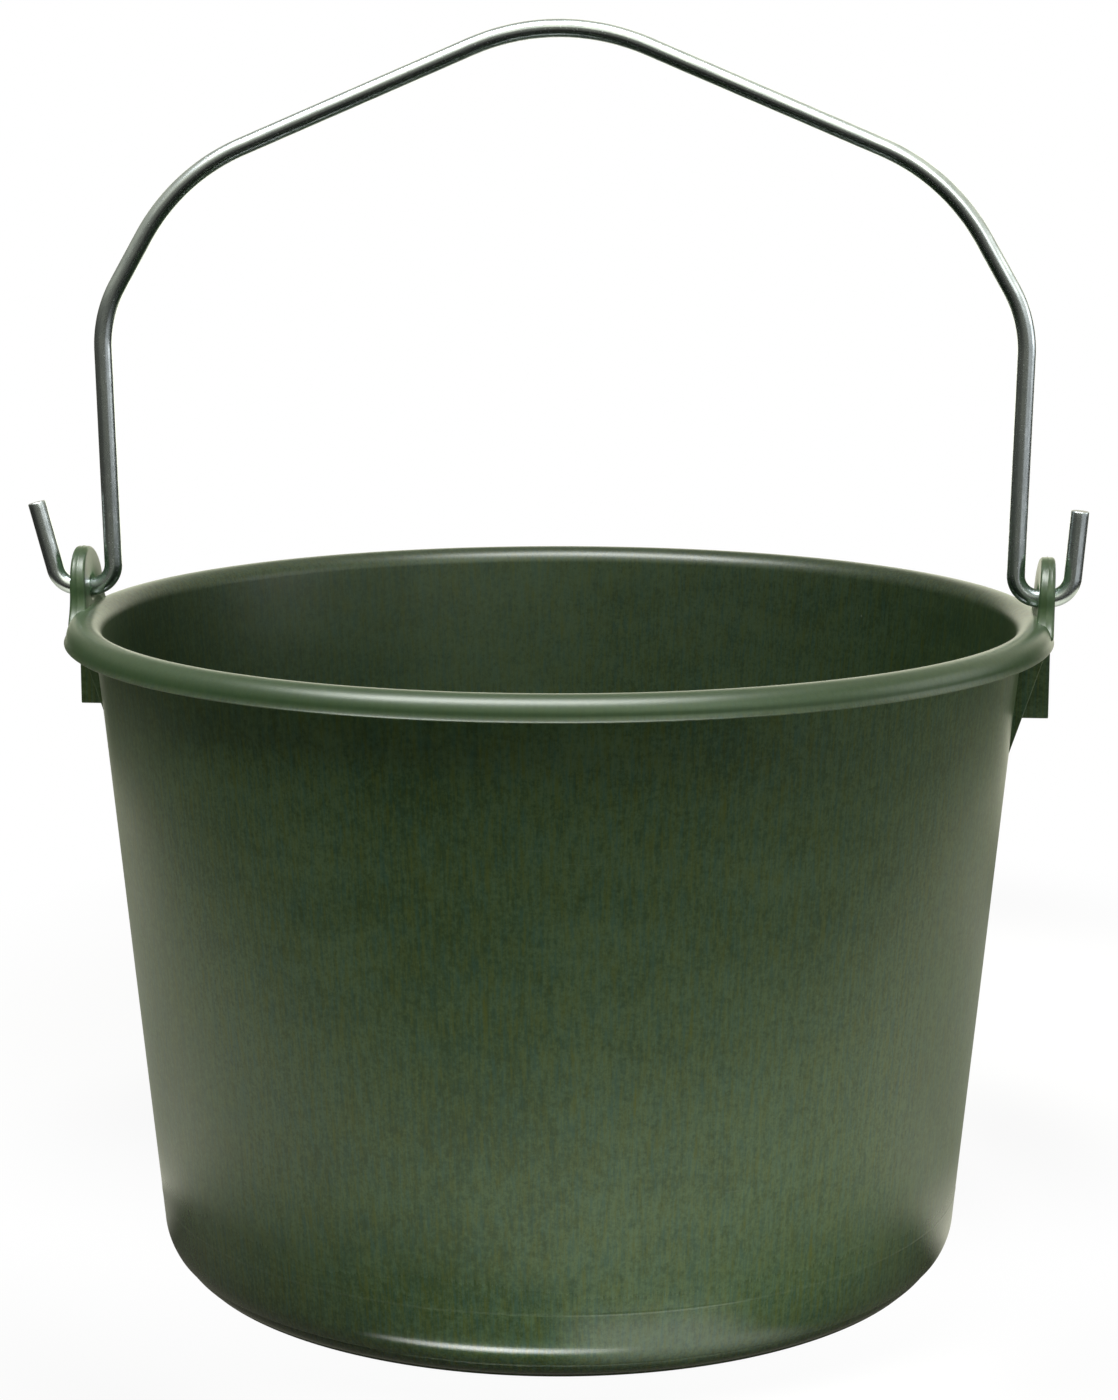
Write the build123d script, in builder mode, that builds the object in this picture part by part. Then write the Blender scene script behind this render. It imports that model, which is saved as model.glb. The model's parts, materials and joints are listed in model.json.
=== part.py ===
from build123d import *
import math
import os

# A builder's mixing bucket: one moulded body with two ears on its rim, and one bent wire bail.
# Millimetres, +Z up. The origin is on the axis of the body, in the plane that the foot ring rests on.
# The ears and their eyes lie on the X axis, and the bail stands upright in the XZ plane.

# Body: tapered wall, from the photograph's outline with the rim taken as 380 mm across
rim_radius = 190.0
body_height = 253.4
lip_height = 245.0
wall_thickness = 3.2
wall_radius_at_foot = 155.4
wall_radius_at_lip = 178.4

# Base: rounded corner, inset foot ring and a panel held clear of the ground
corner_height = 15.0
shoulder_radius = 154.2
shoulder_height = 6.5
foot_step = 1.1
foot_radius = 148.4
foot_edge_round = 1.0
foot_ring_width = 7.0
foot_ring_draft = 1.5
base_recess = 4.5
base_thickness = 3.5
inner_corner_round = 16.0
gate_radius = 7.0
gate_depth = 0.8

# Rim: rolled outwards over a crest, from the inside of the wall to a skirt that ends in a bead
crest_radius = 182.4
bead_proud = 0.5
bead_height = 1.2
bead_round = 0.4
skirt_thickness = 2.4
skirt_root_height = 248.0
skirt_round = 5.4

# Ears: arched plates that stand on the rim, each with a bell-mouthed eye for the wire
ear_count = 2
eye_height = 260.0
eye_radius = 4.25
eye_mouth_round = 1.6
eye_mouth_inner = 183.3
ear_arch_radius = 15.8
ear_foot_spread = 8.0
ear_foot_height = 247.0
ear_inner_at_foot = 183.0
ear_inner_at_top = 184.4
ear_outer = 189.8
ear_outer_round = 2.4
ear_inner_round = 1.2

# Ribs under each ear: a square web in the middle and a gusset at each end
web_bottom = 213.8
web_outer = 188.8
web_thickness = 6.0
gusset_bottom = 199.5
gusset_top_radius = 187.8
gusset_top_height = 245.6
gusset_thickness = 2.6
gusset_offset = 14.2
rib_top_height = 250.2
rib_root_depth = 1.6

# Bail: one round wire, bent at its legs, its shoulders and its top, with a hook through each eye
wire_diameter = 7.0
leg_radius_at_eye = 175.0
leg_top = (177.3, 365.8)
shoulder = (146.5, 419.2)
peak_height = 481.0
hook_tip_right = (198.8, 293.7)
hook_lean_right = 4.5
hook_tip_left = (205.1, 292.9)
hook_lean_left = 14.5
hook_bend = 8.8
leg_bend = 48.0
shoulder_bend = 80.0
peak_bend = 86.0
wire_end_round = 0.5


def wall_radius(height):
    """Outer radius of the tapered wall at a height above the ground."""
    return wall_radius_at_foot + (wall_radius_at_lip - wall_radius_at_foot) * height / lip_height


def hook_heel(tip, lean):
    """Distance from the axis at which a hook's straight end, carried on down, is level with the eye."""
    return tip[0] - (tip[1] - eye_height) * math.tan(math.radians(lean))


os.makedirs("parts", exist_ok=True)

floor_height = base_recess + base_thickness
foot_ring_inner = foot_radius - foot_ring_width
ear_top = eye_height + ear_arch_radius
rib_top = (wall_radius(rib_top_height) - rib_root_depth, rib_top_height)

# The roll inside the mouth is level at the crest and runs out along the wall, so one radius fits both.
wall_lean = math.atan((wall_radius_at_lip - wall_radius_at_foot) / lip_height)
mouth_overhang = crest_radius - (wall_radius(body_height) - wall_thickness)
mouth_round = mouth_overhang * math.cos(wall_lean) / (1 - math.sin(wall_lean))
mouth_turn = 90 - math.degrees(wall_lean)

# One ear with its ribs, on the +X side. Its ribs run into the wall, whose hollow is cut afterwards.
with BuildPart() as ear:
    with BuildSketch(Plane.YZ.offset(ear_inner_at_foot)) as arch:
        with BuildLine():
            top = CenterArc((0, eye_height), ear_arch_radius, 0, 180)
            foot_corner = ear_arch_radius + ear_foot_spread
            right_foot = TangentArc(top @ 0, (foot_corner, ear_foot_height), tangent=(0, -1))
            left_foot = TangentArc(top @ 1, (-foot_corner, ear_foot_height), tangent=(0, -1))
            Line(right_foot @ 1, left_foot @ 1)
        make_face()
    extrude(amount=ear_outer - ear_inner_at_foot)

    with BuildSketch(Plane.XZ) as side_taper:
        with BuildLine():
            Polyline(
                (ear_inner_at_foot, ear_foot_height),
                (ear_outer, ear_foot_height),
                (ear_outer, ear_top),
                (ear_inner_at_top, ear_top),
                close=True,
            )
        make_face()
    extrude(amount=foot_corner, both=True, mode=Mode.INTERSECT)

    outer_face = ear.faces().sort_by(Axis.X)[-1]
    fillet(outer_face.edges().sort_by(Axis.Z)[-1], ear_outer_round)
    inner_face = ear.faces().filter_by(GeomType.PLANE).sort_by(Axis.X)[0]
    fillet(inner_face.edges().sort_by(Axis.Z)[-1], ear_inner_round)

    with BuildSketch(Plane.XZ) as eye_section:
        with BuildLine():
            throat = eye_height + eye_radius
            mouth_rim = throat + eye_mouth_round
            mouth_in = (eye_mouth_inner, mouth_rim)
            throat_in = (eye_mouth_inner + eye_mouth_round, throat)
            throat_out = (ear_outer - eye_mouth_round, throat)
            mouth_out = (ear_outer, mouth_rim)
            Polyline((ear_inner_at_foot, eye_height), (ear_inner_at_foot, mouth_rim), mouth_in)
            RadiusArc(mouth_in, throat_in, -eye_mouth_round)
            Line(throat_in, throat_out)
            RadiusArc(throat_out, mouth_out, -eye_mouth_round)
            Polyline(mouth_out, (ear_outer, eye_height), (ear_inner_at_foot, eye_height))
        make_face()
    revolve(axis=Axis((0, 0, eye_height), (1, 0, 0)), mode=Mode.SUBTRACT)

    with BuildSketch(Plane.XZ) as web_side:
        with BuildLine():
            Polyline(
                (wall_radius(web_bottom) - rib_root_depth, web_bottom),
                (web_outer, web_bottom),
                (web_outer, rib_top_height),
                rib_top,
                close=True,
            )
        make_face()
    extrude(amount=web_thickness / 2, both=True)

    for side in (-1, 1):
        with BuildSketch(Plane.XZ.offset(side * gusset_offset)) as gusset_side:
            with BuildLine():
                Polyline(
                    (wall_radius(gusset_bottom) - rib_root_depth, gusset_bottom),
                    (gusset_top_radius, gusset_top_height),
                    (gusset_top_radius, rib_top_height),
                    rib_top,
                    close=True,
                )
            make_face()
        extrude(amount=gusset_thickness / 2, both=True)

# The moulded body: the outer form is turned first, the ears join it, and then it is hollowed.
with BuildPart() as bucket_body:
    with BuildSketch(Plane.XZ) as outer_form:
        with BuildLine():
            recess_centre = (0, base_recess)
            recess_edge = (foot_ring_inner - foot_ring_draft, base_recess)
            foot_outside = (foot_radius, foot_edge_round)
            foot_under = (foot_radius - foot_edge_round, 0)
            step_foot = (shoulder_radius - foot_step, shoulder_height)
            step_top = (shoulder_radius, shoulder_height + foot_step / 2)
            wall_start = (wall_radius(corner_height), corner_height)
            wall_end = (wall_radius(skirt_root_height), skirt_root_height)
            skirt_inside = (rim_radius - skirt_thickness, lip_height + bead_height)
            bead_inner = (rim_radius - skirt_thickness, lip_height)
            bead_under = (rim_radius - bead_round, lip_height)
            bead_outside = (rim_radius, lip_height + bead_round)
            bead_top = (rim_radius, lip_height + bead_height - bead_proud)
            dome_end = (rim_radius - bead_proud, lip_height + bead_height)
            crest = (crest_radius, body_height)

            Polyline(recess_centre, recess_edge, (foot_ring_inner, 0), foot_under)
            RadiusArc(foot_under, foot_outside, -foot_edge_round)
            Polyline(foot_outside, step_foot, step_top)
            wall_line = Line(wall_start, wall_end)
            TangentArc(wall_start, step_top, tangent=(wall_line % 0) * -1)
            RadiusArc(wall_end, skirt_inside, skirt_round)
            Polyline(skirt_inside, bead_inner, bead_under)
            RadiusArc(bead_under, bead_outside, -bead_round)
            Polyline(bead_outside, bead_top, dome_end)
            TangentArc(crest, dome_end, tangent=(1, 0))
            mouth_roll = JernArc(crest, (-1, 0), mouth_round, mouth_turn)
            mouth = mouth_roll @ 1
            Polyline(mouth, (0, mouth.Y), recess_centre)
        make_face()
    revolve(axis=Axis.Z)

    with PolarLocations(0, ear_count):
        add(ear.part)

    with BuildSketch(Plane.XZ) as hollow:
        with BuildLine():
            inner_wall_foot = (wall_radius(floor_height) - wall_thickness, floor_height)
            Polyline((0, mouth.Y), (0, floor_height), inner_wall_foot, mouth, close=True)
        make_face()
        floor_corner = hollow.vertices().sort_by_distance((inner_wall_foot[0], 0, inner_wall_foot[1]))[0]
        fillet(floor_corner, inner_corner_round)
    revolve(axis=Axis.Z, mode=Mode.SUBTRACT)

    with BuildSketch(Plane.XY.offset(base_recess)) as gate_mark:
        Circle(gate_radius)
    extrude(amount=gate_depth, mode=Mode.SUBTRACT)

# The bail: a round section swept along the bent centre line, from one hook tip to the other.
with BuildPart() as bail:
    with BuildLine(Plane.XZ) as centre_line:
        FilletPolyline(
            hook_tip_right,
            (hook_heel(hook_tip_right, hook_lean_right), eye_height),
            (leg_radius_at_eye, eye_height),
            leg_top,
            shoulder,
            (0, peak_height),
            (-shoulder[0], shoulder[1]),
            (-leg_top[0], leg_top[1]),
            (-leg_radius_at_eye, eye_height),
            (-hook_heel(hook_tip_left, hook_lean_left), eye_height),
            (-hook_tip_left[0], hook_tip_left[1]),
            radius=[
                hook_bend,
                hook_bend,
                leg_bend,
                shoulder_bend,
                peak_bend,
                shoulder_bend,
                leg_bend,
                hook_bend,
                hook_bend,
            ],
        )
    wire_path = centre_line.wire()
    with BuildSketch(Plane(origin=wire_path @ 0, z_dir=wire_path % 0)) as wire_section:
        Circle(wire_diameter / 2)
    sweep(path=wire_path)
    wire_ends = bail.faces().filter_by(GeomType.PLANE)
    fillet(wire_ends.edges(), wire_end_round)

bucket_body.part.label = "bucket_body"
bail.part.label = "bail"
export_step(bucket_body.part, "parts/bucket_body.step")
export_step(bail.part, "parts/bail.step")

wire_area = math.pi * wire_diameter**2 / 4
print("wire length", round(wire_path.length, 1), "volume by length", round(wire_area * wire_path.length))
print("bail volume", round(bail.part.volume), "body volume", round(bucket_body.part.volume))
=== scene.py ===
# %% [markdown]
# # A builder's mixing bucket
#
# The bucket is two things: one green moulding of tough, slightly waxy plastic, and one length of
# zinc-plated steel wire bent into a carrying bail. A measured model of both is loaded first. It says
# where everything is and how it moves, and it is never changed. The lesson then builds a finer skin
# over it, gives each skin a finish, and sets up a small studio to look at it in.

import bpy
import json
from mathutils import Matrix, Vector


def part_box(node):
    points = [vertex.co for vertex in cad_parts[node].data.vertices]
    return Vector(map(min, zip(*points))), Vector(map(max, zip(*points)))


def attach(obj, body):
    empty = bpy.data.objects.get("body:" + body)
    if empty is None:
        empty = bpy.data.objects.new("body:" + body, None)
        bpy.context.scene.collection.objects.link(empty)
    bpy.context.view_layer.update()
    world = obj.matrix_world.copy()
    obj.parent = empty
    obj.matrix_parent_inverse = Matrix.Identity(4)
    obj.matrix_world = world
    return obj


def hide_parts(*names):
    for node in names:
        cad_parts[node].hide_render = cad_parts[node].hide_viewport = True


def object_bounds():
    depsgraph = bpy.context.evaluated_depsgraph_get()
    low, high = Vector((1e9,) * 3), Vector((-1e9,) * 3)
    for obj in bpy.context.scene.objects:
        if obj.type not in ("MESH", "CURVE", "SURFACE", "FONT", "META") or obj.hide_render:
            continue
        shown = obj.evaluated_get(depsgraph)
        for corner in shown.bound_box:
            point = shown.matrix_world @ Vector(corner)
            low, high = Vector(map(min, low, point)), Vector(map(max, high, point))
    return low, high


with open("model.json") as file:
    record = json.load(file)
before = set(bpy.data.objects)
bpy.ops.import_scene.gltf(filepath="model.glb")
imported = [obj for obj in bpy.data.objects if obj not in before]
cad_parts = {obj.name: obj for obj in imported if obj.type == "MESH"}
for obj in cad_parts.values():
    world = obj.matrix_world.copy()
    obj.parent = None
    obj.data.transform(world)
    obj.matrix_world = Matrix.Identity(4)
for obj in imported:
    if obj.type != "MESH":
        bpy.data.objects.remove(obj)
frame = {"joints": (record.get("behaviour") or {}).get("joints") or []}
cad_low, cad_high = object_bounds()
print("measured box, m:", [round(b - a, 4) for a, b in zip(cad_low, cad_high)])

# %% [markdown]
# ## The camera
#
# The photograph looks slightly down on the rim, from a few degrees to the right of the square-on view.
# Its perspective fits a lens of 3098 pixels, and Blender wants that in millimetres of a 36 mm sensor.
# On an upright picture the sensor's width stands for the picture's long side, so one division does it.

# %% Stand the camera where the photographer stood
import math

import bpy
from mathutils import Vector

PHOTO_HEIGHT = 1400
FOCAL_PIXELS = 3098
SENSOR_MM = 36.0
VIEW_AZIMUTH = math.radians(5.0)
VIEW_PITCH = math.radians(10.5)
VIEW_DISTANCE = 1.1876
VIEW_HEIGHT = 0.4376

scene = bpy.context.scene
camera = bpy.data.objects.new("camera", bpy.data.cameras.new("camera"))
scene.collection.objects.link(camera)
scene.camera = camera
camera.data.sensor_width = SENSOR_MM
camera.data.lens = FOCAL_PIXELS / PHOTO_HEIGHT * SENSOR_MM

outwards = Vector((math.sin(VIEW_AZIMUTH), -math.cos(VIEW_AZIMUTH), 0))
upwards = Vector((0, 0, 1))
looking = -outwards * math.cos(VIEW_PITCH) - upwards * math.sin(VIEW_PITCH)
camera.location = outwards * VIEW_DISTANCE + upwards * VIEW_HEIGHT
camera.rotation_mode = "QUATERNION"
camera.rotation_quaternion = looking.to_track_quat("-Z", "Y")
print("camera at", [round(c, 3) for c in camera.location], "lens", round(camera.data.lens, 2), "mm")

# %% [markdown]
# ## Lines with round corners
#
# Nothing on a moulded bucket has a truly sharp corner, and a bent wire has none at all. So one helper
# takes a line of corners and swaps each corner for an arc of its own radius. It serves the section of
# the bucket, the section of an ear and the bends of the wire alike. Everything is drawn in millimetres,
# because those are the numbers a maker would read off a drawing, and scaled to metres at the end.

# %% Round the corners of a line
import numpy as np

MM = 0.001
LARGEST_SHARE = 0.48  # of the shorter side beside a corner, for its arc


def unit(vector):
    return vector / np.linalg.norm(vector)


def swing(centre, start, end, pieces):
    """Points from start to end at an even turn about centre."""
    first, last = start - centre, end - centre
    turn = math.acos(np.clip(unit(first) @ unit(last), -1, 1))
    shares = np.linspace(0, 1, pieces + 1)[:, None]
    return centre + (np.sin((1 - shares) * turn) * first + np.sin(shares * turn) * last) / math.sin(turn)


def rounded(corners, radii, pieces=6, closed=False):
    """The line through corners, with an arc of its own radius at each.

    A radius that is too large for the sides beside it shrinks.
    """
    corners = np.asarray(corners, float)
    line = []
    for i, corner in enumerate(corners):
        at_end = not closed and i in (0, len(corners) - 1)
        if at_end or radii[i] == 0:
            line.append(corner[None])
            continue
        back = corners[i - 1] - corner
        ahead = corners[(i + 1) % len(corners)] - corner
        half = math.acos(np.clip(unit(back) @ unit(ahead), -1, 1)) / 2
        shorter = min(np.linalg.norm(back), np.linalg.norm(ahead))
        reach = min(radii[i] / math.tan(half), LARGEST_SHARE * shorter)
        centre = corner + unit(unit(back) + unit(ahead)) * reach / math.cos(half)
        line.append(swing(centre, corner + unit(back) * reach, corner + unit(ahead) * reach, pieces))
    return np.vstack(line)


square = rounded([(0, 0), (10, 0), (10, 10), (0, 10)], [2, 2, 2, 2], closed=True)
print("a 10 mm square with 2 mm corners takes", len(square), "points")

# %% [markdown]
# Three more helpers finish a line. `bow` is an arc between two points with a given radius, for the
# stretches that are drawn as arcs and not as rounded corners. `softened` eases whatever corners are left.
# `stepped` cuts long straight runs into short steps, so that the quads of the mesh stay evenly sized and
# the wall can be made to wander a little from true.

# %% Bows, soft edges and even steps
SHARPEST_TURN = math.radians(12)


def bow(start, end, radius, pieces=10):
    """An arc from start to end that bends to the left, or to the right if its radius is negative."""
    start, end = np.array(start, float), np.array(end, float)
    chord = end - start
    left = np.array([-chord[1], chord[0]]) / np.linalg.norm(chord)
    rise = math.sqrt(radius**2 - (chord @ chord) / 4)
    return swing((start + end) / 2 + left * math.copysign(rise, radius), start, end, pieces)


def softened(line, radius):
    """The line with every corner that turns more than SHARPEST_TURN eased to the given radius."""
    runs = np.diff(line, axis=0)
    headings = np.unwrap(np.arctan2(runs[:, 1], runs[:, 0]))
    turns = np.abs(np.diff(headings))
    return rounded(line, [0, *np.where(turns > SHARPEST_TURN, radius, 0), 0], pieces=4)


def stepped(line, longest):
    """The line with points added so that no step is longer than longest."""
    steps = []
    for start, end in zip(line[:-1], line[1:]):
        count = max(1, math.ceil(np.linalg.norm(end - start) / longest))
        steps.append(start + (end - start) * np.linspace(0, 1, count, endpoint=False)[:, None])
    return np.vstack([*steps, line[-1:]])


print("a quarter circle in", len(bow((1, 0), (0, 1), 1)), "points")

# %% [markdown]
# ## One skin for every piece
#
# A turned body, a ring-shaped ear and a bent wire have one thing in common: each is a row of closed rings
# with quads between them. So a single function lays the quads. Where the row doesn't close on itself, a
# fan of triangles closes each end. Smooth shading then hides the facets, and the quads run along the
# shape, which is what keeps highlights clean.

# %% Lay a skin over rings of points
import bmesh


def as_object(name, mesh):
    """A finished mesh as an object in the scene, with all its faces turned outwards."""
    shape = bmesh.new()
    shape.from_mesh(mesh)
    bmesh.ops.recalc_face_normals(shape, faces=shape.faces)
    shape.to_mesh(mesh)
    shape.free()
    mesh.shade_smooth()
    thing = bpy.data.objects.new(name, mesh)
    scene.collection.objects.link(thing)
    return thing


def skin(name, rings, joined=False):
    """Quads over a row of closed rings, in mm.

    joined makes the row itself a loop. Otherwise a fan closes each of its ends.
    """
    rings = np.asarray(rings, float)
    index = np.arange(rings.shape[0] * rings.shape[1]).reshape(rings.shape[:2])
    lower = index if joined else index[:-1]
    upper = np.roll(index, -1, 0) if joined else index[1:]
    quads = np.stack([lower, np.roll(lower, -1, 1), np.roll(upper, -1, 1), upper], -1)
    points, faces = rings.reshape(-1, 3), quads.reshape(-1, 4).tolist()
    for ring in [] if joined else (index[0], index[-1]):
        middle = len(points)
        points = np.vstack([points, points[ring].mean(0)])
        faces += [[a, b, middle] for a, b in zip(ring.tolist(), np.roll(ring, -1).tolist())]
    mesh = bpy.data.meshes.new(name)
    mesh.from_pydata((points * MM).tolist(), [], faces)
    return as_object(name, mesh)


print("skins are drawn in mm, at", MM, "m each")

# %% [markdown]
# ## The bucket's section
#
# A bucket is turned about one axis, so its whole form is one closed section. It runs outwards under the
# base, over the inset foot ring and the rounded corner, up the tapered wall, round the rolled rim, and
# back down the inside to the floor. The sizes are the drawing's, and the rim's size is read from the
# measured model. The skin keeps a hair inside that model, so that it never makes the bucket larger.

# %% Sizes of the moulding
SKIN_INSET = 0.04
RIM_RADIUS = cad_high[1] / MM - SKIN_INSET
EYE_HEIGHT = frame["joints"][0]["pos_m"][2] / MM

LIP_HEIGHT = 245.0
WALL_AT_FOOT = 155.4
WALL_AT_LIP = 178.4
WALL_THICKNESS = 3.2
FOOT_RADIUS = 148.4
FLOOR_HEIGHT = 8.0


def wall(height):
    """Outer radius of the tapered wall at a height."""
    return WALL_AT_FOOT + (WALL_AT_LIP - WALL_AT_FOOT) * height / LIP_HEIGHT


def inside(height):
    return wall(height) - WALL_THICKNESS


print("rim", round(RIM_RADIUS, 2), "mm in radius, eyes", round(EYE_HEIGHT, 1), "mm up")

# %% [markdown]
# A flat base would rock on grit, so the bucket stands on a narrow ring, and the base panel inside it is
# held clear of the ground. In the middle of the panel is the mark of the gate where the plastic ran in.
# Outside, the ring bulges a little, and a shallow groove parts it from the rounded corner. That groove
# is what draws the thin second line under the gleam on the corner.

# %% Draw the foot and the corner
RECESS_HEIGHT = 4.5
FAN_RADIUS = 6.0
GATE_RADIUS = 7.0
GATE_DEPTH = 0.8
FOOT_WIDTH = 7.0
FOOT_DRAFT = 1.5
FOOT_EDGE = 1.0
FOOT_BULGE = 7.5
FOOT_TOP = (152.3, 5.8)
FOOT_GROOVE = (152.0, 6.5)
SHOULDER = (154.2, 7.05)
CORNER_HEIGHT = 15.0
CORNER_ROUND = 18.9

gate_height = RECESS_HEIGHT + GATE_DEPTH
foot_inner = FOOT_RADIUS - FOOT_WIDTH
foot_line = np.vstack([
    [(FAN_RADIUS, gate_height), (GATE_RADIUS, gate_height), (GATE_RADIUS, RECESS_HEIGHT)],
    [(foot_inner - FOOT_DRAFT, RECESS_HEIGHT), (foot_inner, 0)],
    bow((FOOT_RADIUS - FOOT_EDGE, 0), (FOOT_RADIUS, FOOT_EDGE), FOOT_EDGE, pieces=5)[:-1],
    bow((FOOT_RADIUS, FOOT_EDGE), FOOT_TOP, FOOT_BULGE, pieces=7),
    [FOOT_GROOVE],
    bow(SHOULDER, (wall(CORNER_HEIGHT), CORNER_HEIGHT), CORNER_ROUND, pieces=12),
])
print("foot and corner:", len(foot_line), "points, standing on a ring", 2 * FOOT_RADIUS, "mm across")

# %% [markdown]
# Low on the wall the mould left a witness ring, a hair-thin raised line. It is far too small to matter to
# the shape, but it catches the light, so it is real geometry here: seven rows of points, of which three
# rise, by less than a tenth of a millimetre. The flat rows beside them keep the ring's slopes from
# tilting the smooth shading of the wall above and below.
#
# The rim is rolled outwards over a crest, which stiffens it and leaves no edge to cut a hand. It ends in a
# lip with a small cove above it, and the cove gathers the light into one thin line all the way round.

# %% Draw the wall and the rolled rim
WITNESS_HEIGHT = 27.0
WITNESS_HALF_WIDTH = 0.6
WITNESS_PROUD = 0.07
ROLL_HEIGHT = 248.0
ROLL_ROUND = 5.4
SKIRT_THICKNESS = 2.4
SKIRT_STEP = 1.5
LIP_EDGE = 0.3
LIP_BOTTOM = 244.7
COVE_TOP = (189.05, 247.1)
COVE_ROUND = 4.2
DOME_ROUND = 6.6
CREST = (182.4, 253.4)

witness_rows = WITNESS_HEIGHT + WITNESS_HALF_WIDTH * np.array([-1.5, -1, -0.5, 0, 0.5, 1, 1.5])
witness_rise = WITNESS_PROUD * np.array([0, 0, 0.5, 1, 0.5, 0, 0])
wall_line = np.stack([wall(witness_rows) + witness_rise, witness_rows], -1)

skirt_inside = RIM_RADIUS - SKIRT_THICKNESS
lip_outside = (RIM_RADIUS, LIP_BOTTOM + LIP_EDGE)
rim_line = np.vstack([
    bow((wall(ROLL_HEIGHT), ROLL_HEIGHT), (skirt_inside, LIP_BOTTOM + SKIRT_STEP), -ROLL_ROUND, pieces=12),
    [(skirt_inside, LIP_BOTTOM)],
    bow((RIM_RADIUS - LIP_EDGE, LIP_BOTTOM), lip_outside, LIP_EDGE, pieces=4),
    bow(lip_outside, COVE_TOP, -COVE_ROUND, pieces=10)[1:-1],
    bow(COVE_TOP, CREST, DOME_ROUND, pieces=20),
])
print("rim:", len(rim_line), "points, top at", rim_line[:, 1].max(), "mm")

# %% [markdown]
# Inside, the roll of the mouth is level at the crest and runs out along the wall, so a single radius fits
# both. The floor meets the wall in a large round, from which mortar can be scraped with a trowel.

# %% Draw the inside
FLOOR_CORNER_ROUND = 16.0

lean = math.atan((WALL_AT_LIP - WALL_AT_FOOT) / LIP_HEIGHT)
mouth_round = (CREST[0] - inside(CREST[1])) * math.cos(lean) / (1 - math.sin(lean))
mouth = (CREST[0] - mouth_round * math.cos(lean), CREST[1] - mouth_round * (1 - math.sin(lean)))
inside_corners = [mouth, (inside(FLOOR_HEIGHT), FLOOR_HEIGHT), (GATE_RADIUS, FLOOR_HEIGHT)]
inside_line = np.vstack([
    bow(CREST, mouth, mouth_round, pieces=20)[1:-1],
    rounded(inside_corners, [0, FLOOR_CORNER_ROUND, 0], pieces=12),
])
print("inside:", len(inside_line), "points, floor", FLOOR_HEIGHT, "mm up")

# %% [markdown]
# ## Turning the section
#
# The section is softened at its remaining corners, cut into even steps and turned about the axis in 312
# steps. A thin plastic wall never cools perfectly round. It wanders by a tenth of a millimetre or two,
# and that small error is what makes real reflections look smoky and uneven. So the wall gets three slow
# waves, which fade to nothing at the foot and the rim, because those stay true.

# %% Turn the shell
EDGE_SOFTNESS = 0.35
LONGEST_STEP = 6.5
SEGMENTS = 312
WANDER = 0.16
WANDER_FROM_FOOT = 0.15
WANDER_FROM_LIP = 0.1
FLOOR_MARGIN = 1.0
WAVES = [(1.0, 3, 2.1), (0.7, 7, -5.0), (0.5, 2, 9.0)]  # size, lobes round the wall, turn over its height

outline = softened(np.vstack([foot_line, wall_line, rim_line, inside_line]), EDGE_SOFTNESS)
section = stepped(outline, LONGEST_STEP)
radius, height = section[:, :1], section[:, 1:]
around = np.linspace(0, 2 * math.pi, SEGMENTS, endpoint=False)[None, :]
share = height / LIP_HEIGHT
off_floor = radius > inside(FLOOR_HEIGHT) - FLOOR_MARGIN
on_wall = np.clip(share / WANDER_FROM_FOOT, 0, 1) * np.clip((1 - share) / WANDER_FROM_LIP, 0, 1) * off_floor
wave = sum(size * np.sin(lobes * around + turn * share) for size, lobes, turn in WAVES)
largest_wave = sum(size for size, lobes, turn in WAVES)
turned = radius - WANDER * on_wall * (1 + wave / largest_wave)
rings = np.stack([turned * np.cos(around), turned * np.sin(around), height + 0 * around], -1)
bucket_shell = skin("bucket_shell", rings)
print("bucket_shell:", len(bucket_shell.data.polygons), "faces")

# %% [markdown]
# ## The ears
#
# An ear is an arched plate with a hole through it, the eye, whose mouths are flared like a bell so that
# the wire doesn't cut it. Seen from the middle of the eye, the outline is a single distance for every
# direction: the arch above, then the feet that spread into the rim. So the plate can be built like a
# flattened ring, one rounded section for each direction, joined into a loop. Halfway through its edge
# runs the mould's parting line.

# %% Measure the ear's outline from its eye
EAR_ARCH = 15.8
EAR_FOOT_SPREAD = 8.0
EAR_FOOT_HEIGHT = 247.0

foot_drop = EYE_HEIGHT - EAR_FOOT_HEIGHT
foot_round = (EAR_FOOT_SPREAD**2 + foot_drop**2) / (2 * EAR_FOOT_SPREAD)


def reach_from_eye(angle):
    """Distance from the middle of the eye to the ear's edge, in a direction counted from level."""
    if math.sin(angle) >= 0:
        return EAR_ARCH
    to_bottom = -foot_drop / math.sin(angle)
    to_centre = (EAR_ARCH + foot_round) * abs(math.cos(angle))
    beside = to_centre**2 - (EAR_ARCH + foot_round) ** 2 + foot_round**2
    if beside < 0:
        return to_bottom
    return min(to_bottom, to_centre - math.sqrt(beside))


to_foot = reach_from_eye(math.radians(-30))
print("reach up", reach_from_eye(math.pi / 2), "mm, to a foot", round(to_foot, 1), "mm")

# %% [markdown]
# The plate follows the rim, so it is bent round the bucket's axis. Over an ear's width that is only a
# millimetre and a half, but without it the flat feet would stick out past the round rim as thin tails.

# %% Build one ear
EYE_RADIUS = 4.25
EYE_MOUTH_ROUND = 1.6
EAR_OUTER = 189.8
EAR_OUTER_ROUND = 2.4
EAR_INNER_AT_FOOT = 183.0
EAR_INNER_AT_TOP = 184.4
EAR_INNER_ROUND = 1.2
PARTING_PROUD = 0.22
PARTING_HALF_WIDTH = 0.3
EAR_DIRECTIONS = 192
SIDES = {"right": 1, "left": -1}


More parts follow.
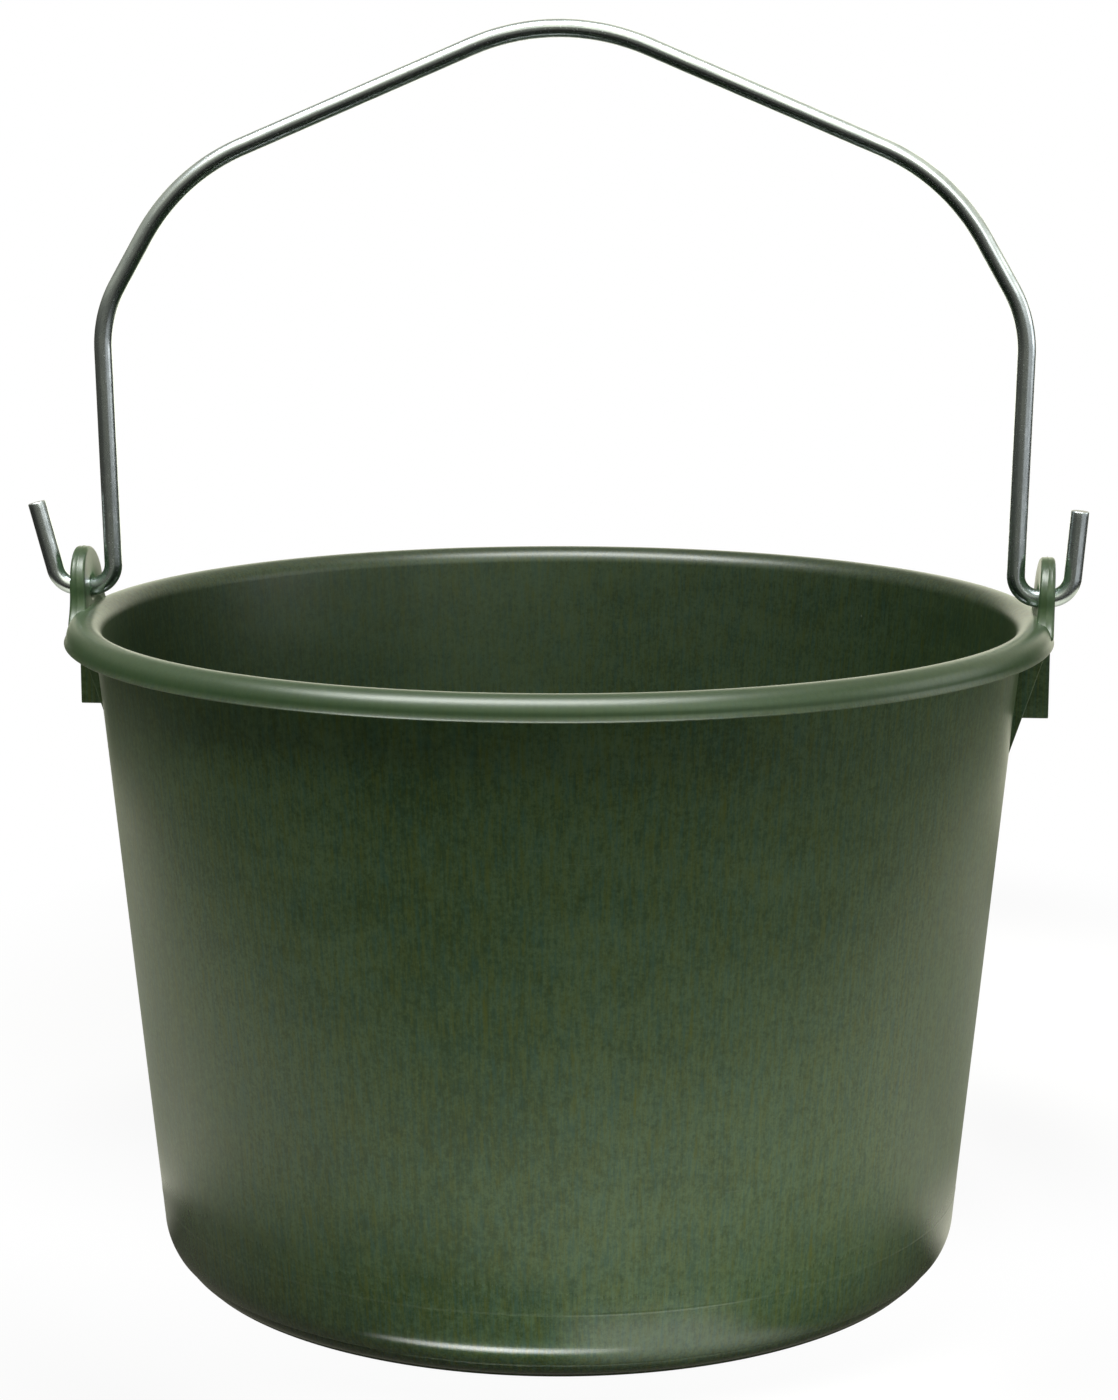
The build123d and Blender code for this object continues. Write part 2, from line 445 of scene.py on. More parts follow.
def ear_section(angle):
    """The rounded section of the ear in one direction: rows of distance from the eye and from the axis."""
    reach = reach_from_eye(angle)
    slope = (EAR_INNER_AT_TOP - EAR_INNER_AT_FOOT) / (EAR_ARCH + foot_drop)
    face_at_eye = EAR_INNER_AT_FOOT + slope * (foot_drop + EYE_RADIUS * math.sin(angle))
    face_at_edge = EAR_INNER_AT_FOOT + slope * (foot_drop + reach * math.sin(angle))
    middle = (EAR_OUTER + face_at_edge) / 2
    corners = [
        (EYE_RADIUS, EAR_OUTER),
        (reach, EAR_OUTER),
        (reach, middle + PARTING_HALF_WIDTH),
        (reach + PARTING_PROUD, middle),
        (reach, middle - PARTING_HALF_WIDTH),
        (reach, face_at_edge),
        (EYE_RADIUS, face_at_eye),
    ]
    radii = [EYE_MOUTH_ROUND, EAR_OUTER_ROUND, 0, 0, 0, EAR_INNER_ROUND, EYE_MOUTH_ROUND]
    return rounded(corners, radii, closed=True)


def ear_plate(name, side):
    """The ear on one side of the bucket, +1 for the right and -1 for the left."""
    loops = []
    for angle in np.linspace(0, 2 * math.pi, EAR_DIRECTIONS, endpoint=False):
        away, depth = ear_section(angle).T
        across = away * math.cos(angle)
        bent_in = EAR_OUTER - np.sqrt(EAR_OUTER**2 - across**2)
        loops.append(np.stack([side * (depth - bent_in), across, EYE_HEIGHT + away * math.sin(angle)], -1))
    return skin(name, loops, joined=True)


ear_plates = [ear_plate("ear_plate_" + word, side) for word, side in SIDES.items()]
print("each ear plate:", len(ear_plates[0].data.polygons), "faces")

# %% [markdown]
# Under each ear three ribs carry its load into the wall: a square web in the middle and a slim gusset at
# each end. They are plain plates, so each is a flat outline pushed out to its thickness, with its edges
# bevelled the way a mould cutter leaves them.

# %% Build the ribs
RIB_ROOT = 1.6
RIB_EDGE = 0.45
RIB_TOP = 250.2
RIB_SHARP_ANGLE = math.radians(40)
WEB_BOTTOM = 213.8
WEB_OUTER = 188.8
WEB_THICKNESS = 6.0
GUSSET_BOTTOM = 199.5
GUSSET_TOP = (187.8, 245.6)
GUSSET_THICKNESS = 2.6
GUSSET_OFFSET = 14.2


def rib(shape, outline, across, thickness):
    """Adds a bevelled plate to a mesh in the making.

    Its outline is in radius and height, and across is the place of its middle plane along the ear.
    """
    corners = [shape.verts.new((r * MM, (across - thickness / 2) * MM, z * MM)) for r, z in outline]
    face = shape.faces.new(corners)
    pushed = bmesh.ops.extrude_face_region(shape, geom=[face])["geom"]
    moved = [part for part in pushed if isinstance(part, bmesh.types.BMVert)]
    bmesh.ops.translate(shape, verts=moved, vec=(0, thickness * MM, 0))
    edges = {edge for vert in corners + moved for edge in vert.link_edges}
    bmesh.ops.bevel(shape, geom=list(edges), offset=RIB_EDGE * MM, segments=3, profile=0.5, affect="EDGES")


def ear_ribs(name, side):
    """The web and both gussets under one ear."""
    rib_top = (wall(RIB_TOP) - RIB_ROOT, RIB_TOP)
    web_root = (wall(WEB_BOTTOM) - RIB_ROOT, WEB_BOTTOM)
    gusset_root = (wall(GUSSET_BOTTOM) - RIB_ROOT, GUSSET_BOTTOM)
    web = [web_root, (WEB_OUTER, WEB_BOTTOM), (WEB_OUTER, RIB_TOP), rib_top]
    gusset = [gusset_root, GUSSET_TOP, (GUSSET_TOP[0], RIB_TOP), rib_top]
    shape = bmesh.new()
    rib(shape, web, 0, WEB_THICKNESS)
    for across in (-GUSSET_OFFSET, GUSSET_OFFSET):
        rib(shape, gusset, across, GUSSET_THICKNESS)
    bmesh.ops.scale(shape, vec=(side, 1, 1), verts=shape.verts)
    mesh = bpy.data.meshes.new(name)
    shape.to_mesh(mesh)
    shape.free()
    thing = as_object(name, mesh)
    mesh.set_sharp_from_angle(angle=RIB_SHARP_ANGLE)
    return thing


ribs = [ear_ribs("ear_ribs_" + word, side) for word, side in SIDES.items()]
print("ribs under each ear:", len(ribs[0].data.polygons), "faces")

# %% [markdown]
# ## The bail
#
# The bail is one drawn wire, bent in a jig at the hooks, the legs, the shoulders and the top. The left hook
# was bent further open than the right one. Its centre line is a line of corners with a radius at each, like
# the bucket's section, and a ring of points is carried along it.

# %% Bend the centre line
LEG_AT_EYE = 175.0
LEG_TOP = (177.3, 365.8)
SHOULDER_CORNER = (146.5, 419.2)
PEAK = 481.0
HOOK_TIPS = {"right": (198.8, 293.7), "left": (205.1, 292.9)}
HOOK_LEANS = {"right": 4.5, "left": 14.5}
HOOK_BEND, LEG_BEND, SHOULDER_BEND, PEAK_BEND = 8.8, 48.0, 80.0, 86.0
BEND_PIECES = 18
WIRE_STEP = 2.5


def half_bail(word):
    """The corners of one half of the bail, from the hook's tip up to the shoulder."""
    tip, lean = HOOK_TIPS[word], math.radians(HOOK_LEANS[word])
    heel = (tip[0] - (tip[1] - EYE_HEIGHT) * math.tan(lean), EYE_HEIGHT)
    return np.array([tip, heel, (LEG_AT_EYE, EYE_HEIGHT), LEG_TOP, SHOULDER_CORNER]) * (SIDES[word], 1)


corners = np.vstack([half_bail("right"), [(0, PEAK)], half_bail("left")[::-1]])
bends = [0, HOOK_BEND, HOOK_BEND, LEG_BEND, SHOULDER_BEND]
centre_line = stepped(rounded(corners, bends + [PEAK_BEND] + bends[::-1], BEND_PIECES), WIRE_STEP)
lengths = np.r_[0, np.cumsum(np.linalg.norm(np.diff(centre_line, axis=0), axis=1))]
WIRE_LENGTH = lengths[-1]
print("the wire is", round(WIRE_LENGTH, 1), "mm long before it is bent")

# %% [markdown]
# Wire is cropped to length and tumbled, so its ends are rounded off a little. A few extra rings close to
# each end follow that round, and the wire's thickness is read from the measured model.

# %% Carry the wire's section along it
WIRE_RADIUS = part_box("bail")[1].y / MM - SKIN_INSET
WIRE_SIDES = 40
END_ROUND = 0.5
END_RINGS = 6
CLOSEST_RINGS = 0.01


def wire_radius(along):
    """The wire's radius at a length, rounded off at both cut ends."""
    from_end = np.minimum(along, WIRE_LENGTH - along)
    short = np.clip(END_ROUND - from_end, 0, END_ROUND)
    return WIRE_RADIUS - END_ROUND + np.sqrt(END_ROUND**2 - short**2)


end_steps = END_ROUND * (1 - np.cos(np.linspace(0, math.pi / 2, END_RINGS)))
along = np.unique(np.round(np.r_[end_steps, lengths, WIRE_LENGTH - end_steps], 4))
along = along[np.r_[True, np.diff(along) > CLOSEST_RINGS]]
spine = np.stack([np.interp(along, lengths, centre_line[:, k]) for k in (0, 1)], -1)
heading = np.gradient(spine, along, axis=0)
heading /= np.linalg.norm(heading, axis=1, keepdims=True)
turn = np.linspace(0, 2 * math.pi, WIRE_SIDES, endpoint=False)
girth = wire_radius(along)[:, None]
sideways = girth * np.cos(turn)
outward = girth * np.sin(turn)
wire_rings = np.stack([
    spine[:, :1] + outward * heading[:, 1:],
    sideways,
    spine[:, 1:] - outward * heading[:, :1],
], -1)
bail_wire = skin("bail_wire", wire_rings)
print("bail_wire:", len(bail_wire.data.polygons), "faces,", round(2 * WIRE_RADIUS, 2), "mm thick")

# %% [markdown]
# The plating and the drawing marks have to follow the wire round its bends. So each point of the mesh also
# notes where it was while the wire was still straight, and the finish will read that place.

# %% Note where each point was on the straight wire
straight = np.stack([sideways, outward, along[:, None] + 0 * outward], -1).reshape(-1, 3)
straight = np.vstack([straight, [(0, 0, 0), (0, 0, WIRE_LENGTH)]]) * MM
unbent = bail_wire.data.attributes.new("unbent", "FLOAT_VECTOR", "POINT")
unbent.data.foreach_set("vector", straight.astype(np.float32).ravel())
print("straight wire noted for", len(straight), "points")

# %% [markdown]
# ## Writing shaders as sums
#
# A material's pattern is arithmetic on values, and arithmetic is easier to read as `1 - mask * 0.3` than as
# a web of nodes. So a small class wraps one output socket and overloads the operators: each use adds a Math
# node and wraps its output again. Every other kind of node comes from one method, which sets the node's own
# settings first and then fills its sockets with numbers or with other wrapped values.

# %% A value that knows its arithmetic


class Value:
    """One output socket of a finish, to be used in sums like a number."""

    def __init__(self, finish, socket):
        self.finish = finish
        self.socket = socket

    def sum(self, operation, *terms):
        return self.finish.node("Math", {"operation": operation}, dict(enumerate(terms)))

    def __add__(self, other):
        return self.sum("ADD", self, other)

    def __sub__(self, other):
        return self.sum("SUBTRACT", self, other)

    def __rsub__(self, other):
        return self.sum("SUBTRACT", other, self)

    def __mul__(self, other):
        return self.sum("MULTIPLY", self, other)

    def __truediv__(self, other):
        return self.sum("DIVIDE", self, other)

    def __pow__(self, other):
        return self.sum("POWER", self, other)

    def __abs__(self):
        return self.sum("ABSOLUTE", self)

    __radd__ = __add__
    __rmul__ = __mul__

    def fade(self, low, high):
        """0 at low, 1 at high, and a smooth step between. low may be the larger one."""
        settings = {"interpolation_type": "SMOOTHSTEP"}
        ends = {"From Min": min(low, high), "From Max": max(low, high)}
        step = self.finish.node("MapRange", settings, {"Value": self, **ends})
        return step if low < high else 1 - step

    def between(self, first, last):
        """first where this value is 0, last where it is 1, and a straight blend between."""
        return first + self * (last - first)


print("values add, subtract, multiply, divide, fade and blend")

# %% A finish that grows its own nodes


class Finish:
    """A node tree, for a material or the world, and the one method that adds nodes to it."""

    def __init__(self, owner):
        owner.use_nodes = True
        self.tree = owner.node_tree
        self.tree.nodes.clear()

    def node(self, kind, settings=None, sockets=None, out=None):
        """A new node with its settings made and its sockets filled.

        Returns its output called out, or its first one, or None where it has no output.
        """
        made = self.tree.nodes.new("ShaderNode" + kind)
        for name, setting in (settings or {}).items():
            setattr(made, name, setting)
        for name, content in (sockets or {}).items():
            if isinstance(name, int):
                socket = made.inputs[name]
            else:
                socket = next(s for s in made.inputs if s.name == name and s.enabled)
            if isinstance(content, Value):
                self.tree.links.new(content.socket, socket)
            else:
                socket.default_value = content
        outputs = [s for s in made.outputs if s.enabled and out in (None, s.name)]
        return Value(self, outputs[0]) if outputs else None

    def axis(self, place, name):
        """One part of a vector: X, Y or Z."""
        return self.node("SeparateXYZ", {}, {"Vector": place}, name)

    def away(self, place, point):
        """Distance of a place from a fixed point."""
        return self.node("VectorMath", {"operation": "DISTANCE"}, {0: place, 1: point}, "Value")

    def stretched(self, place, factors):
        return self.node("VectorMath", {"operation": "MULTIPLY"}, {0: place, 1: factors})

    def noise(self, place, scale, detail, roughness, stretch=(1, 1, 1)):
        """Seamless noise that averages a half. A small factor in stretch draws it out along that axis."""
        sockets = {"Scale": scale, "Detail": detail, "Roughness": roughness}
        return self.node("TexNoise", {}, {"Vector": self.stretched(place, stretch), **sockets}, "Fac")

    def mix(self, share, first, second):
        """Two colours mixed by a share of the second."""
        return self.node("Mix", {"data_type": "RGBA"}, {"Factor": share, "A": first, "B": second})

    def close(self, surface, relief, strength, depth):
        """Ends a material's tree in one Principled surface, with a shallow bump from a relief."""
        bumps = self.node("Bump", {}, {"Height": relief, "Strength": strength, "Distance": depth})
        shader = self.node("BsdfPrincipled", {}, {**surface, "Normal": bumps})
        self.node("OutputMaterial", {}, {"Surface": shader})


def blend(pattern, shares):
    """Several patterns added up, each by its share."""
    return sum(pattern[name] * share for name, share in shares.items())


print("shader arithmetic ready")

# %% [markdown]
# ## The green plastic
#
# Polyethylene fresh from the mould is satin, not glossy: its surface copies the fine polish of the steel.
# Close up it is never one colour. Pigment drifts in soft clouds and smears, drawing the part off its core
# leaves hair-fine upright streaks, and the streaks lean a little to yellow or to blue. Upright flow lines
# and a few level scratches cross them. Each of these is one noise, drawn out along the way it runs, so a
# list of recipes says it all. Scales are in waves per metre.

# %% List the plastic's colours and patterns
GREEN_DEEP = (0.040, 0.083, 0.026, 1)
GREEN_PALE = (0.112, 0.191, 0.080, 1)
GREEN_YELLOWED = (0.110, 0.145, 0.020, 1)
GREEN_BLUED = (0.046, 0.128, 0.090, 1)
GREEN_PAINTED_RIM_LIGHT = (0.150, 0.290, 0.115, 1)
GREEN_WEAR_AND_HIGHLIGHT = (0.30, 0.36, 0.27, 1)

PLASTIC_PATTERNS = {
    "clouds": {"scale": 9, "detail": 3, "roughness": 0.55, "stretch": (1, 1, 0.6)},
    "smears": {"scale": 60, "detail": 3, "roughness": 0.6, "stretch": (0.3, 0.3, 1)},
    "drifts": {"scale": 45, "detail": 2, "roughness": 0.5, "stretch": (1, 1, 0.05)},
    "streaks": {"scale": 600, "detail": 3, "roughness": 0.8, "stretch": (1, 1, 0.01)},
    "mottle": {"scale": 230, "detail": 4, "roughness": 0.65},
    "grain": {"scale": 560, "detail": 3, "roughness": 0.85},
    "hues": {"scale": 700, "detail": 3, "roughness": 0.8, "stretch": (1, 1, 0.02)},
    "flows": {"scale": 240, "detail": 1, "roughness": 0.4, "stretch": (1, 1, 0.003)},
    "scratches": {"scale": 800, "detail": 2, "roughness": 0.5, "stretch": (0.04, 0.04, 1)},
    "scuffs": {"scale": 700, "detail": 3, "roughness": 0.7},
}
TONE_SHARES = {"clouds": 0.2, "smears": 0.25, "drifts": 0.1, "streaks": 0.5, "mottle": 0.3, "grain": 0.8}
TONE_SHIFT = 0.5 - sum(TONE_SHARES.values()) / 2
print(len(PLASTIC_PATTERNS), "patterns, of which", len(TONE_SHARES), "make the tone")

# %% [markdown]
# Other marks have a place of their own. Pale specks are crumbs of unmixed resin. The wire has rubbed the
# mouths of the eyes. The outer roll of the rim and the ears are painted lighter, as painted light from
# above, and the witness ring's crest a trace paler, as a painted highlight. Each mark is a mask, worked out
# from where a point is on the bucket.

# %% Place the plastic's marks
SPECK_CELLS = 42.0
SPECK_EDGE = (0.030, 0.016)
SPECK_PICK = (0.80, 0.82)
RUB_OUTSIDE = 0.0012
RUB_INSIDE = 0.0008
SCUFF_EDGE = (0.42, 0.62)
RIM_LIGHT_UP = (0.2445, 0.2475)
RIM_LIGHT_OUT = (0.1795, 0.1835)
WITNESS_HIGHLIGHT_REACH = 0.00063


def pale_specks(finish, place):
    """Small round spots, in about a fifth of the cells of a Voronoi pattern."""
    cells = {"Vector": place, "Scale": SPECK_CELLS, "Randomness": 1.0}
    near = finish.node("TexVoronoi", {}, cells, "Distance")
    colour = finish.node("TexVoronoi", {}, cells, "Color")
    picked = finish.node("SeparateColor", {}, {"Color": colour}, "Red").fade(*SPECK_PICK)
    return near.fade(*SPECK_EDGE) * picked


def rubbed_eyes(finish, place, scuffs):
    """The pale, broken ring that the wire has rubbed round each eye."""
    across = finish.axis(place, "Y")
    rise = finish.axis(place, "Z") - EYE_HEIGHT * MM
    from_eye = (across * across + rise * rise) ** 0.5
    mouth_edge = (EYE_RADIUS + EYE_MOUTH_ROUND) * MM
    return from_eye.fade(mouth_edge + RUB_OUTSIDE, mouth_edge - RUB_INSIDE) * scuffs.fade(*SCUFF_EDGE)


def painted_rim_light(finish, place):
    """Painted light: the outer roll of the rim, and the ears that stand on it, painted lighter as if more
    strongly lit.
    """
    x, y, z = [finish.axis(place, name) for name in "XYZ"]
    off_axis = (x * x + y * y) ** 0.5
    return z.fade(*RIM_LIGHT_UP) * off_axis.fade(*RIM_LIGHT_OUT)


def witness_painted_highlight(finish, place):
    """A painted highlight: the crest of the witness ring, painted a trace paler."""
    off_ring = finish.axis(place, "Z") - WITNESS_HEIGHT * MM
    return (off_ring**2).fade(WITNESS_HIGHLIGHT_REACH**2, 0)


# of these marks, the rim is painted light and the witness ring a painted highlight
print("4 marks: specks, rubbed eyes, handled rim, witness ring")

# %% [markdown]
# The patterns and marks now meet in one shader. Several of them change the roughness too: some patches are
# shinier than others, and the eye reads that as real before it notices the colour. The bottom corner is
# the smoothest, polished by sliding over floors. A shallow bump of grain and streaks breaks up the rest.
# A share says how strongly each thing counts.

# %% Mix the green plastic
TONE_RANGE = (0.28, 0.72)
YELLOW_RANGE = (0.48, 0.70)
BLUE_RANGE = (0.52, 0.30)
FLOW_EDGE = (0.70, 0.76)
SCRATCH_EDGE = (0.73, 0.78)
SCRATCHED_AREAS = (0.5, 0.6)
POLISHED_CORNER = (0.055, 0.02)
HUE_SHARE, FLOW_SHARE, RIM_LIGHT_SHARE = 0.6, 0.5, 0.6
SPECK_SHARE, RUB_SHARE, SCRATCH_SHARE, WITNESS_HIGHLIGHT_SHARE = 0.6, 0.5, 0.12, 0.05
PLASTIC_ROUGHNESS = 0.24
ROUGH_SHARES = {"clouds": 0.12, "smears": 0.1, "streaks": 0.04}
RUBBED_ROUGHER = 0.2
POLISHED_SMOOTHER = 0.16
PLASTIC_RELIEF = {"grain": 0.5, "streaks": 0.5}
SPECK_RISE = 1.5
PLASTIC_BUMP, PLASTIC_BUMP_DEPTH = 0.22, 0.0002
PLASTIC_IOR = 1.5


def green_plastic():
    material = bpy.data.materials.new("moulded_green")
    finish = Finish(material)
    place = finish.node("TexCoord", out="Object")
    pattern = {name: finish.noise(place, **recipe) for name, recipe in PLASTIC_PATTERNS.items()}
    tone = blend(pattern, TONE_SHARES) + TONE_SHIFT
    flows = pattern["flows"].fade(*FLOW_EDGE)
    scratches = pattern["scratches"].fade(*SCRATCH_EDGE) * pattern["drifts"].fade(*SCRATCHED_AREAS)
    specks = pale_specks(finish, place)
    rubbed = rubbed_eyes(finish, place, pattern["scuffs"])
    polished = finish.axis(place, "Z").fade(*POLISHED_CORNER)

    colour = finish.mix(tone.fade(*TONE_RANGE), GREEN_DEEP, GREEN_PALE)
    yellowed = pattern["hues"].fade(*YELLOW_RANGE) * HUE_SHARE + flows * FLOW_SHARE
    colour = finish.mix(yellowed, colour, GREEN_YELLOWED)
    colour = finish.mix(pattern["hues"].fade(*BLUE_RANGE) * HUE_SHARE, colour, GREEN_BLUED)
    # painted light: the rim's outer roll and the ears a lighter green, as if lit more strongly from above
    colour = finish.mix(painted_rim_light(finish, place) * RIM_LIGHT_SHARE, colour, GREEN_PAINTED_RIM_LIGHT)
    pale = specks * SPECK_SHARE + rubbed * RUB_SHARE + scratches * SCRATCH_SHARE
    # the witness ring's crest is a painted highlight, mixed into the same pale green as the real wear
    pale = pale + witness_painted_highlight(finish, place) * WITNESS_HIGHLIGHT_SHARE
    colour = finish.mix(pale, colour, GREEN_WEAR_AND_HIGHLIGHT)

    rough = blend(pattern, ROUGH_SHARES) + PLASTIC_ROUGHNESS
    rough = rough + rubbed * RUBBED_ROUGHER - polished * POLISHED_SMOOTHER
    relief = blend(pattern, PLASTIC_RELIEF) + specks * SPECK_RISE
    surface = {"Base Color": colour, "Roughness": rough, "IOR": PLASTIC_IOR}
    finish.close(surface, relief, PLASTIC_BUMP, PLASTIC_BUMP_DEPTH)
    return material


plastic = green_plastic()
print(plastic.name + ":", len(plastic.node_tree.nodes), "nodes")

# %% [markdown]
# ## The zinc-plated wire
#
# Zinc plating over drawn steel is a soft grey mirror. The drawing die scores fine lines along the wire, and
# the plating lies over them in mottled patches, some bright and some dull, with small pits. All of it is
# read in the straight wire's own coordinates, which the mesh noted earlier. Where the wire was cropped, at
# both tips, bare steel shows, duller and darker than the zinc.

# %% Plate the wire
ZINC_DULL = (0.43, 0.48, 0.50, 1)
ZINC_BRIGHT = (0.69, 0.76, 0.79, 1)
STEEL_CUT = (0.24, 0.24, 0.23, 1)
CUT_DEPTH = 0.0003
BRIGHT_RANGE = (0.36, 0.64)
BRIGHT_SHARES = {"mottle": 0.6, "patches": 0.4}
PIT_EDGE = (0.66, 0.74)
ZINC_ROUGHNESS = 0.26
BRIGHT_SMOOTHER = 0.08
LINES_ROUGHER, PITS_ROUGHER, CUT_ROUGHER = 0.06, 0.15, 0.3
ZINC_RELIEF = {"lines": 1.0, "mottle": 0.4}
PIT_DEPTH = 0.6
ZINC_BUMP, ZINC_BUMP_DEPTH = 0.16, 0.00015

ZINC_PATTERNS = {
    "lines": {"scale": 1500, "detail": 2, "roughness": 0.6, "stretch": (1, 1, 0.012)},
    "mottle": {"scale": 260, "detail": 4, "roughness": 0.65, "stretch": (1, 1, 0.5)},
    "patches": {"scale": 45, "detail": 2, "roughness": 0.5, "stretch": (1, 1, 0.35)},
    "pits": {"scale": 1400, "detail": 2, "roughness": 0.7},
}


def zinc_plating():
    material = bpy.data.materials.new("zinc_plating")
    finish = Finish(material)
    place = finish.node("Attribute", {"attribute_name": "unbent"}, out="Vector")
    pattern = {name: finish.noise(place, **recipe) for name, recipe in ZINC_PATTERNS.items()}
    pits = pattern["pits"].fade(*PIT_EDGE)
    bright = blend(pattern, BRIGHT_SHARES).fade(*BRIGHT_RANGE)
    from_tip = finish.axis(place, "Z")
    cut = from_tip.fade(CUT_DEPTH, 0) + (WIRE_LENGTH * MM - from_tip).fade(CUT_DEPTH, 0)

    colour = finish.mix(cut, finish.mix(bright, ZINC_DULL, ZINC_BRIGHT), STEEL_CUT)
    rough = ZINC_ROUGHNESS - bright * BRIGHT_SMOOTHER + pattern["lines"] * LINES_ROUGHER
    rough = rough + pits * PITS_ROUGHER + cut * CUT_ROUGHER
    relief = blend(pattern, ZINC_RELIEF) - pits * PIT_DEPTH
    surface = {"Base Color": colour, "Roughness": rough, "Metallic": 1.0}
    finish.close(surface, relief, ZINC_BUMP, ZINC_BUMP_DEPTH)
    return material


zinc = zinc_plating()
print(zinc.name + ":", len(zinc.node_tree.nodes), "nodes")

# %% [markdown]
# ## Hanging the skins on the model
#
# Each skin now takes its finish, rides on the body it belongs to and stands for the measured node beneath
# it. The plastic pieces ride on the bucket, and the wire rides on the bail, which swings about the two eyes.

# %% Dress the two bodies


def dress(piece, material, body, node):
    piece.data.materials.append(material)
    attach(piece, body)
    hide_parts(node)


for piece in [bucket_shell, *ear_plates, *ribs]:
    dress(piece, plastic, "bucket", "bucket_body")
dress(bail_wire, zinc, "bail", "bail")
print("dressed", len(ear_plates) + len(ribs) + 1, "plastic pieces and 1 wire")

# %% [markdown]
# ## The studio
#
# The bucket stands on a round white table in a white room. A dark, satin object shows its surroundings as
# much as its own colour: the wall leans down, so it mirrors the table in front of it, and the rim and the
# wire mirror the room above. So the table and the room are painted three times over, once for the camera,
# once for reflections and once for the soft light that they throw back. Light Path tells which is meant.

# %% Set the table
TABLE_RADIUS = 0.68
TABLE_SET_BACK = 0.33
TABLE_THICKNESS = 0.02
TABLE_GAP = 0.0003

edge_x = TABLE_RADIUS * np.cos(around[0])
edge_y = TABLE_RADIUS * np.sin(around[0]) + TABLE_SET_BACK
edge = np.stack([edge_x, edge_y, 0 * edge_x], -1)
tops = [edge - (0, 0, TABLE_GAP), edge - (0, 0, TABLE_GAP + TABLE_THICKNESS)]
table = skin("table", np.array(tops) / MM)
table.data.shade_flat()
print("table", 2 * TABLE_RADIUS, "m across")

# %% [markdown]
# The table's paint needs to know where a point lies: how far from the bucket's axis, on which side, and
# whether it is in front of the bucket or behind it. All measures on the table are in metres.

# %% Find places on the table
LEFT_SIDE = (0.05, -0.15)
RIGHT_SIDE = (0.10, 0.22)
REAR = (-0.05, 0.1)


def ray_kinds(finish):
    """Two masks: rays that the camera sends, also through glass, and rays that a reflection sends."""
    from_camera = finish.node("LightPath", out="Is Camera Ray")
    through_glass = finish.node("LightPath", out="Is Transmission Ray")
    return from_camera + through_glass, finish.node("LightPath", out="Is Glossy Ray")


table_paint = bpy.data.materials.new("table_paint")
table.data.materials.append(table_paint)
paint = Finish(table_paint)
seen, gloss = ray_kinds(paint)
bounce = (1 - gloss) * (1 - seen)
spot = paint.node("TexCoord", out="Object")
spot_x = paint.axis(spot, "X")
spot_y = paint.axis(spot, "Y")
from_axis = paint.away(spot, (0, 0, 0))
right = spot_x.fade(*RIGHT_SIDE)
beside = spot_x.fade(*LEFT_SIDE) + right
rear = spot_y.fade(*REAR)
print("places found with", len(paint.tree.nodes), "nodes")

# %% [markdown]
# Close to the foot the bucket keeps the light off the table, and that shadow is painted onto the table here:
# a painted dark zone, which the wall mirrors as the deep band just above the bottom corner. The zone is a
# pair of overlapping discs, one on each side, open at the rear where light comes round the bucket, and more
# so on the right. For bounced light it is a painted dark collar round the foot, narrow in front and wide at
# the sides.

# %% Darken the table round the foot
DISC_X, DISC_Y = 0.045, -0.07
DISC_EDGE = (0.184, 0.163)
OPEN_FROM = (-0.035, 0.01)
OPEN_ACROSS = (-0.1, 0.1)
OPEN_LEFT, OPEN_RIGHT = 0.35, 1.0
COLLAR_FRONT = (0.175, 0.155)
COLLAR_SIDE = (0.30, 0.22)
DARKNESS_FRONT, DARKNESS_SIDE = 0.9, 0.95

from_disc = ((abs(spot_x) - DISC_X) ** 2 + (spot_y - DISC_Y) ** 2) ** 0.5
opened = spot_y.fade(*OPEN_FROM) * spot_x.fade(*OPEN_ACROSS).between(OPEN_LEFT, OPEN_RIGHT)
in_shadow = from_disc.fade(*DISC_EDGE) * (1 - opened)
front_collar = from_axis.fade(*COLLAR_FRONT) * DARKNESS_FRONT
side_collar = from_axis.fade(*COLLAR_SIDE) * DARKNESS_SIDE
shade = gloss * in_shadow + bounce * beside.between(front_collar, side_collar)
print("dark zone up to", DISC_EDGE[0], "m from its middle")

# %% [markdown]
# Outside the dark zone the table in front is the brightest thing that the wall can see, so it is given a
# glow of its own, an oval ring that begins at the dark zone and fades out towards the camera. This is what
# makes the wall grow lighter from the rim down. Behind the bucket the ring goes on, wider and fainter.

# %% Let the table glow in front
OVAL = (0.75, 1, 1)
OVAL_MIDDLE = (-0.0225, 0, 0)
RING_START_FRONT = (0.165, 0.205)
RING_START_SIDE = (0.22, 0.32)
RING_END_GLOSS = (0.45, 0.29)
RING_END_BOUNCE = (0.41, 0.27)
RING_END_REAR = (0.62, 0.48)
GLOSS_ACROSS = (-0.05, -0.2)
GLOSS_LEVEL, GLOSS_LEVEL_LEFT = 0.53, 0.46
BOUNCE_ACROSS = (-0.15, 0.10)
BOUNCE_LEVEL_LEFT, BOUNCE_LEVEL_RIGHT = 0.5, 1.0
REAR_LEVEL = 0.5

